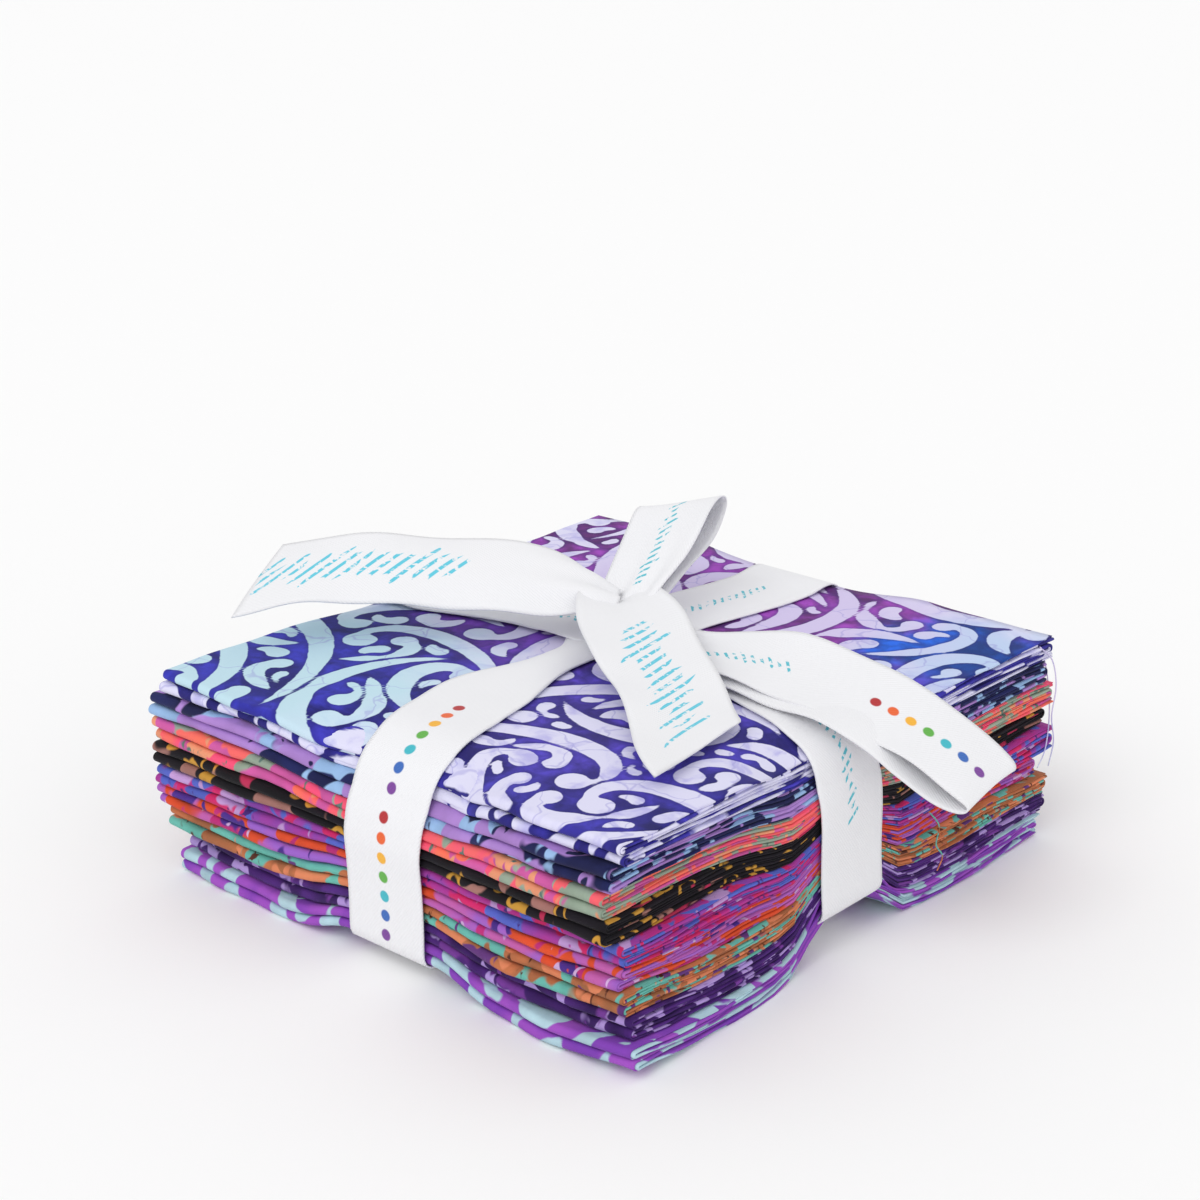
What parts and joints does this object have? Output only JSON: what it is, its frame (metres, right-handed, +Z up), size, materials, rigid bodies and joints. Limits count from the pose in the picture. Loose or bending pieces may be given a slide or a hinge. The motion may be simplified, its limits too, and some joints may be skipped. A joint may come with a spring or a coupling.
{
  "type": "fat quarter bundle",
  "caption": "Stack of folded batik quilting cloths tied both ways with a white ribbon in a bow.",
  "frame": {"origin": "middle of the underside, where the ribbon's two bands cross, at the height of the surface it stands on", "axes": "+Z up, +Y along the large loop's length towards the far side, -X towards the rolled folds of the cloths"},
  "size_m": [0.1526, 0.1726, 0.078],
  "materials": {
    "cloth_1_scroll": "matt",
    "cloth_2_navy": "matt",
    "cloth_3_coral": "matt",
    "cloth_4_black": "matt",
    "cloth_5_magenta": "matt",
    "cloth_6_lilac": "matt",
    "cloth_7_teal": "matt",
    "cloth_8_plum": "matt",
    "cloth_9_orchid": "matt",
    "ribbon": "matt"
  },
  "bodies": {
    "root": {"cloth_1_scroll": "cloth_1_scroll", "cloth_2_navy": "cloth_2_navy", "cloth_3_coral": "cloth_3_coral", "cloth_4_black": "cloth_4_black", "cloth_5_magenta": "cloth_5_magenta", "cloth_6_lilac": "cloth_6_lilac", "cloth_7_teal": "cloth_7_teal", "cloth_8_plum": "cloth_8_plum", "cloth_9_orchid": "cloth_9_orchid", "ribbon": "ribbon"}
  },
  "joints": []
}
